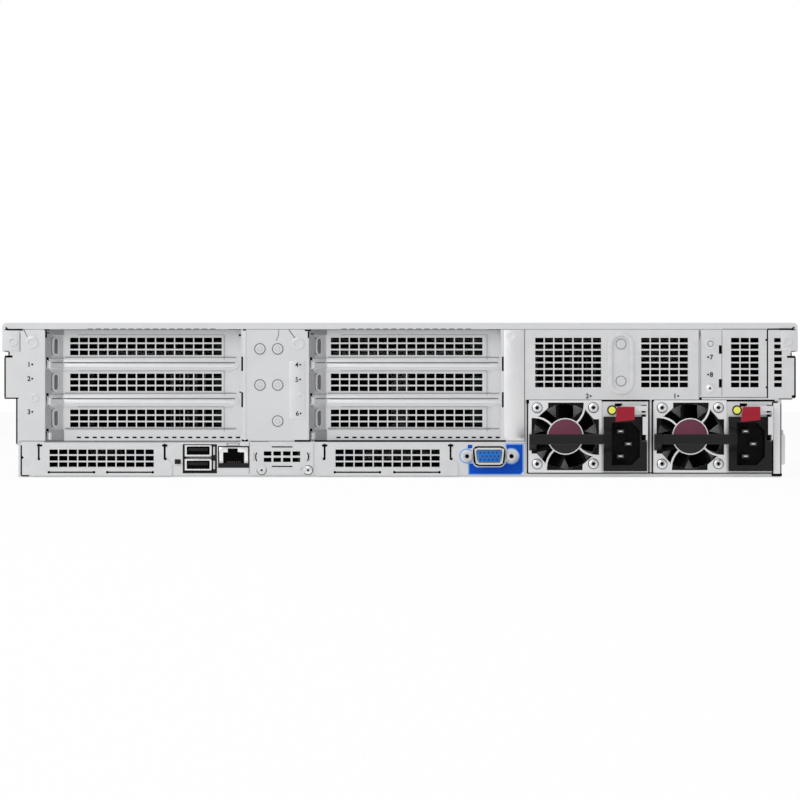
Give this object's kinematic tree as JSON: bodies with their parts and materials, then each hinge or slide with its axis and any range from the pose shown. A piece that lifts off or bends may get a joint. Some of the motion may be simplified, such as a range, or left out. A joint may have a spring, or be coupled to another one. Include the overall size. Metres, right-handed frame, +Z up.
{
  "type": "rack server",
  "caption": "Rack server with a vented sheet-steel rear, riser cages with slot blanks, hot-plug power supplies, fan wall, drive carriers and lift-off cover.",
  "frame": {"origin": "centre of the bounding box's bottom face, on the chassis floor's underside", "axes": "+X to the right seen from the rear, +Y from the rear panel to the front, +Z up"},
  "size_m": [0.4826, 0.741, 0.087],
  "materials": {
    "galvanised_steel": "matt galvanised sheet, folded and punched",
    "cover_steel": "matt galvanised sheet",
    "blank_steel": "plated spring steel sheet",
    "guard_steel": "bright stamped steel",
    "black_moulding": "moulded, fine grain",
    "fan_plastic": "moulded, smooth",
    "red_lever": "moulded tab on a steel arm",
    "circuit_board": "solder-resist coated laminate",
    "heatsink": "extruded, plain",
    "memory": "coated laminate in black sockets",
    "baffle_plastic": "moulded, fine grain",
    "port_shell": "plated shell",
    "pin_brass": "nickel-plated",
    "indicator_lens": "clear tinted",
    "drive_steel": "cast and plated",
    "front_plastic": "moulded, fine grain",
    "button_plastic": "moulded, smooth",
    "latch_metal": "painted",
    "fastener_steel": "zinc plated"
  },
  "bodies": {
    "chassis": {"chassis_base": "galvanised_steel", "rear_io_wall": "galvanised_steel", "rear_upper_panel": "galvanised_steel", "psu_cage": "galvanised_steel", "drive_cage": "galvanised_steel", "drive_backplane": "circuit_board", "bay_blanks": "front_plastic", "rack_ear_left": "front_plastic", "rack_ear_right": "front_plastic", "fan_cage": "galvanised_steel", "fan_frames": "fan_plastic", "system_board": "circuit_board", "processor_heatsinks": "heatsink", "memory_modules": "memory", "air_baffle": "baffle_plastic", "riser_cage_1": "galvanised_steel", "riser_cage_2": "galvanised_steel", "riser_cage_3": "galvanised_steel", "riser_boards": "circuit_board", "slot_blanks": "blank_steel", "lower_blanks": "blank_steel", "serial_blank": "blank_steel", "usb_ports": "port_shell", "network_port": "port_shell", "video_port": "port_shell", "rear_fasteners": "fastener_steel"},
    "cover": {"top_cover": "cover_steel"},
    "latch": {"cover_latch": "latch_metal"},
    "ear_latch_left": {"ear_latch_left": "latch_metal"},
    "ear_latch_right": {"ear_latch_right": "latch_metal"},
    "power_button": {"power_button": "button_plastic"},
    "locator_button": {"locator_button": "button_plastic"},
    "psu_left": {"psu_left_case": "galvanised_steel", "psu_left_fan_guard": "guard_steel", "psu_left_inlet": "black_moulding", "psu_left_inlet_pins": "pin_brass", "psu_left_indicator": "indicator_lens"},
    "psu_left_lever": {"psu_left_release_lever": "red_lever"},
    "psu_left_fan": {"psu_left_fan_rotor": "fan_plastic"},
    "psu_right": {"psu_right_case": "galvanised_steel", "psu_right_fan_guard": "guard_steel", "psu_right_inlet": "black_moulding", "psu_right_inlet_pins": "pin_brass", "psu_right_indicator": "indicator_lens"},
    "psu_right_lever": {"psu_right_release_lever": "red_lever"},
    "psu_right_fan": {"psu_right_fan_rotor": "fan_plastic"},
    "fan_1": {"fan_rotor_1": "fan_plastic"},
    "fan_2": {"fan_rotor_2": "fan_plastic"},
    "fan_3": {"fan_rotor_3": "fan_plastic"},
    "fan_4": {"fan_rotor_4": "fan_plastic"},
    "fan_5": {"fan_rotor_5": "fan_plastic"},
    "fan_6": {"fan_rotor_6": "fan_plastic"},
    "drive_1": {"drive_1": "drive_steel"},
    "drive_lever_1": {"drive_lever_1": "front_plastic"},
    "drive_2": {"drive_2": "drive_steel"},
    "drive_lever_2": {"drive_lever_2": "front_plastic"},
    "drive_3": {"drive_3": "drive_steel"},
    "drive_lever_3": {"drive_lever_3": "front_plastic"},
    "drive_4": {"drive_4": "drive_steel"},
    "drive_lever_4": {"drive_lever_4": "front_plastic"}
  },
  "joints": [
    {"name": "cover_lift", "type": "slide", "parent": "chassis", "child": "cover", "axis": [0, 0, 1], "range_m": [0, 0.12]},
    {"name": "cover_latch_hinge", "type": "hinge", "parent": "cover", "child": "latch", "pos_m": [0, 0.0171, 0.0849], "axis": [1, 0, 0], "range_deg": [0, 80]},
    {"name": "ear_latch_left_hinge", "type": "hinge", "parent": "chassis", "child": "ear_latch_left", "pos_m": [-0.2285, 0.3675, 0.0435], "axis": [0, 0, -1], "range_deg": [0, 70]},
    {"name": "ear_latch_right_hinge", "type": "hinge", "parent": "chassis", "child": "ear_latch_right", "pos_m": [0.2285, 0.3675, 0.0435], "axis": [0, 0, 1], "range_deg": [0, 70]},
    {"name": "power_button_press", "type": "slide", "parent": "chassis", "child": "power_button", "axis": [0, -1, 0], "range_m": [0, 0.0015], "stiffness_N_per_m": 400},
    {"name": "locator_button_press", "type": "slide", "parent": "chassis", "child": "locator_button", "axis": [0, 1, 0], "range_m": [0, 0.0004], "stiffness_N_per_m": 400},
    {"name": "psu_left_slide", "type": "slide", "parent": "chassis", "child": "psu_left", "axis": [0, -1, 0], "range_m": [0, 0.2]},
    {"name": "psu_left_release", "type": "hinge", "parent": "psu_left", "child": "psu_left_lever", "pos_m": [0.1385, -0.3145, 0.0306], "axis": [0, 0, -1], "range_deg": [0, 2.8], "stiffness_Nm_per_rad": 2},
    {"name": "psu_left_fan_spin", "type": "hinge", "parent": "psu_left", "child": "psu_left_fan", "pos_m": [0.0931, -0.3365, 0.023], "axis": [0, 1, 0], "continuous": true},
    {"name": "psu_right_slide", "type": "slide", "parent": "chassis", "child": "psu_right", "axis": [0, -1, 0], "range_m": [0, 0.2]},
    {"name": "psu_right_release", "type": "hinge", "parent": "psu_right", "child": "psu_right_lever", "pos_m": [0.2089, -0.3145, 0.0306], "axis": [0, 0, -1], "range_deg": [0, 2.8], "stiffness_Nm_per_rad": 2},
    {"name": "psu_right_fan_spin", "type": "hinge", "parent": "psu_right", "child": "psu_right_fan", "pos_m": [0.1635, -0.3365, 0.023], "axis": [0, 1, 0], "continuous": true},
    {"name": "fan_1_spin", "type": "hinge", "parent": "chassis", "child": "fan_1", "pos_m": [-0.1725, 0.1335, 0.04], "axis": [0, 1, 0], "continuous": true},
    {"name": "fan_2_spin", "type": "hinge", "parent": "chassis", "child": "fan_2", "pos_m": [-0.1035, 0.1335, 0.04], "axis": [0, 1, 0], "continuous": true},
    {"name": "fan_3_spin", "type": "hinge", "parent": "chassis", "child": "fan_3", "pos_m": [-0.0345, 0.1335, 0.04], "axis": [0, 1, 0], "continuous": true},
    {"name": "fan_4_spin", "type": "hinge", "parent": "chassis", "child": "fan_4", "pos_m": [0.0345, 0.1335, 0.04], "axis": [0, 1, 0], "continuous": true},
    {"name": "fan_5_spin", "type": "hinge", "parent": "chassis", "child": "fan_5", "pos_m": [0.1035, 0.1335, 0.04], "axis": [0, 1, 0], "continuous": true},
    {"name": "fan_6_spin", "type": "hinge", "parent": "chassis", "child": "fan_6", "pos_m": [0.1725, 0.1335, 0.04], "axis": [0, 1, 0], "continuous": true},
    {"name": "drive_1_slide", "type": "slide", "parent": "chassis", "child": "drive_1", "axis": [0, 1, 0], "range_m": [0, 0.15]},
    {"name": "drive_1_lever_hinge", "type": "hinge", "parent": "drive_1", "child": "drive_lever_1", "pos_m": [-0.1934, 0.3625, 0.0152], "axis": [-1, 0, 0], "range_deg": [0, 50]},
    {"name": "drive_2_slide", "type": "slide", "parent": "chassis", "child": "drive_2", "axis": [0, 1, 0], "range_m": [0, 0.15]},
    {"name": "drive_2_lever_hinge", "type": "hinge", "parent": "drive_2", "child": "drive_lever_2", "pos_m": [-0.177, 0.3625, 0.0152], "axis": [-1, 0, 0], "range_deg": [0, 50]},
    {"name": "drive_3_slide", "type": "slide", "parent": "chassis", "child": "drive_3", "axis": [0, 1, 0], "range_m": [0, 0.15]},
    {"name": "drive_3_lever_hinge", "type": "hinge", "parent": "drive_3", "child": "drive_lever_3", "pos_m": [-0.1606, 0.3625, 0.0152], "axis": [-1, 0, 0], "range_deg": [0, 50]},
    {"name": "drive_4_slide", "type": "slide", "parent": "chassis", "child": "drive_4", "axis": [0, 1, 0], "range_m": [0, 0.15]},
    {"name": "drive_4_lever_hinge", "type": "hinge", "parent": "drive_4", "child": "drive_lever_4", "pos_m": [-0.1442, 0.3625, 0.0152], "axis": [-1, 0, 0], "range_deg": [0, 50]}
  ]
}
